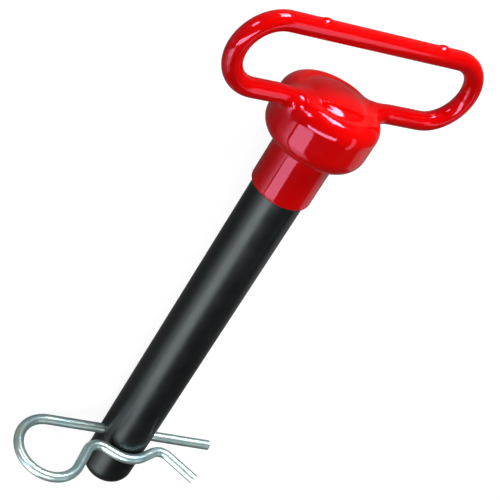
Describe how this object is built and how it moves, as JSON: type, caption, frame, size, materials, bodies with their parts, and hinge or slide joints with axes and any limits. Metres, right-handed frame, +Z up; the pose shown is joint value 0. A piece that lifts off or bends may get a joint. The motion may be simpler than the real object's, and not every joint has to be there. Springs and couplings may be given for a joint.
{
  "type": "hitch pin",
  "caption": "Round steel hitch pin with a vinyl-dipped collar and loop handle, held by a hairpin clip through its cross hole near the tip.",
  "frame": {"origin": "middle of the part's bounding box on the surface it lies on", "axes": "+X along the pin towards its tip, +Y along the handle's long runs, away from the clip's loop, +Z up from the surface it lies on"},
  "size_m": [0.2778, 0.1306, 0.0483],
  "materials": {
    "pin": "satin black oxide over turned steel",
    "handle_rod": "bare bent rod, hidden under the vinyl",
    "vinyl": "glossy dipped vinyl",
    "clip": "bright zinc plate"
  },
  "bodies": {
    "pin": {"pin": "pin", "handle_rod": "handle_rod", "vinyl_coat": "vinyl"},
    "clip": {"hairpin_clip": "clip"}
  },
  "joints": [
    {"name": "clip_pull", "type": "slide", "parent": "pin", "child": "clip", "axis": [-0.0133, -0.9663, -0.257], "range_m": [0, 0.075], "deforming": ["hairpin_clip"]}
  ]
}
